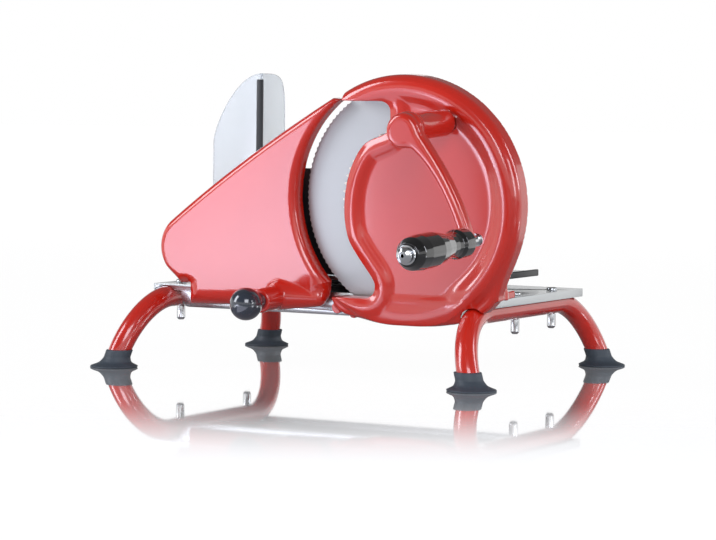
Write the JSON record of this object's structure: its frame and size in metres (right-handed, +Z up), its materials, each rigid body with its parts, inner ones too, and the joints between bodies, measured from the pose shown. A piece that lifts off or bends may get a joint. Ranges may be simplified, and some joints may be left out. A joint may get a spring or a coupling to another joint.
{
  "type": "hand crank meat slicer",
  "caption": "Hand cranked meat slicer: red cast housing and gauge plate, round blade, steel base on bent tube legs, sliding tray and crank with black grip.",
  "frame": {"origin": "middle of the part's box in plan, on the ground under the feet", "axes": "+Z up; +X to the right along the blade, the way the food is fed; -Y towards the crank side"},
  "size_m": [0.3756, 0.4204, 0.2419],
  "materials": {
    "red_paint": "glossy orange-red enamel on castings, plate and bent tubes",
    "stainless": "brushed stainless sheet",
    "bright_steel": "bright ground and plated steel",
    "rubber": "dark blue-grey rubber, matt",
    "black_gloss": "turned grip in glossy black",
    "black_plastic": "black moulded plastic, satin",
    "blue_plastic": "dark blue-grey moulded ball, glossy",
    "clear_plastic": "pale see-through moulding with a slight grey tint",
    "gear_plastic": "natural nylon",
    "brass": "turned brass, unpolished"
  },
  "bodies": {
    "base": {"left_arch_tube": "red_paint", "right_arch_tube": "red_paint", "left_front_foot": "rubber", "left_rear_foot": "rubber", "right_front_foot": "rubber", "right_rear_foot": "rubber", "base_plate": "stainless", "left_front_bolt": "bright_steel", "left_rear_bolt": "bright_steel", "right_middle_bolt": "bright_steel", "right_rear_bolt": "bright_steel", "left_front_sleeve_nut": "bright_steel", "left_rear_sleeve_nut": "bright_steel", "right_middle_sleeve_nut": "bright_steel", "right_rear_sleeve_nut": "bright_steel", "guide_rail": "stainless", "rail_screw_left": "bright_steel", "rail_screw_right": "bright_steel", "housing": "red_paint", "housing_screw_left": "bright_steel", "housing_screw_right": "bright_steel", "housing_pad_screw": "bright_steel", "crank_bush": "bright_steel", "blade_axle": "bright_steel", "axle_screw": "bright_steel", "left_pin_bush": "brass", "right_pin_bush": "brass", "spindle_nut": "brass"},
    "blade": {"blade": "bright_steel", "blade_gear": "gear_plastic", "blade_screw_1": "bright_steel", "blade_screw_2": "bright_steel", "blade_screw_3": "bright_steel"},
    "crank": {"crank_shaft": "bright_steel", "pinion": "brass", "crank_arm": "red_paint", "crank_set_screw": "bright_steel", "handle_spindle": "bright_steel", "grip_washer": "bright_steel", "grip_end_cap": "bright_steel"},
    "grip": {"grip": "black_gloss"},
    "carriage": {"runner": "black_plastic", "tray": "stainless", "tray_screw_left": "bright_steel", "tray_screw_right": "bright_steel", "pusher_wall": "clear_plastic", "wall_rivet_front": "bright_steel", "wall_rivet_rear": "bright_steel", "corner_strip": "black_plastic", "tray_edge_trim": "black_plastic"},
    "holder": {"remnant_holder": "black_plastic"},
    "gauge": {"gauge_plate": "red_paint", "left_guide_pin": "bright_steel", "right_guide_pin": "bright_steel", "spindle_retainer": "bright_steel"},
    "knob": {"adjusting_spindle": "bright_steel", "adjusting_knob": "blue_plastic"}
  },
  "joints": [
    {"name": "crank_turn", "type": "hinge", "parent": "base", "child": "crank", "pos_m": [0.12259, -0.06627, 0.20318], "axis": [0, -0.9985, -0.0541], "continuous": true},
    {"name": "blade_turn", "type": "hinge", "parent": "base", "child": "blade", "pos_m": [0.0816, -0.01289, 0.14199], "axis": [0, -0.9985, -0.0541], "continuous": true},
    {"name": "grip_spin", "type": "hinge", "parent": "crank", "child": "grip", "pos_m": [0.17459, -0.1516, 0.11444], "axis": [0, -0.9985, -0.0541], "continuous": true},
    {"name": "carriage_slide", "type": "slide", "parent": "base", "child": "carriage", "axis": [1, 0, 0], "range_m": [-0.08, 0.11]},
    {"name": "holder_slide", "type": "slide", "parent": "carriage", "child": "holder", "axis": [0, 1, 0], "range_m": [0, 0.09]},
    {"name": "gauge_slide", "type": "slide", "parent": "base", "child": "gauge", "axis": [0, -0.9985, -0.0541], "range_m": [-0.002, 0.013]},
    {"name": "knob_turn", "type": "hinge", "parent": "gauge", "child": "knob", "pos_m": [-0.03339, -0.0685, 0.0593], "axis": [0, -0.9985, -0.0541], "range_deg": [-180, 1170]}
  ],
  "couplings": [
    {"joint": "blade_turn", "follows": "crank_turn", "ratio": -0.35714},
    {"joint": "knob_turn", "follows": "gauge_slide", "rad_per_m": 1570.8}
  ]
}
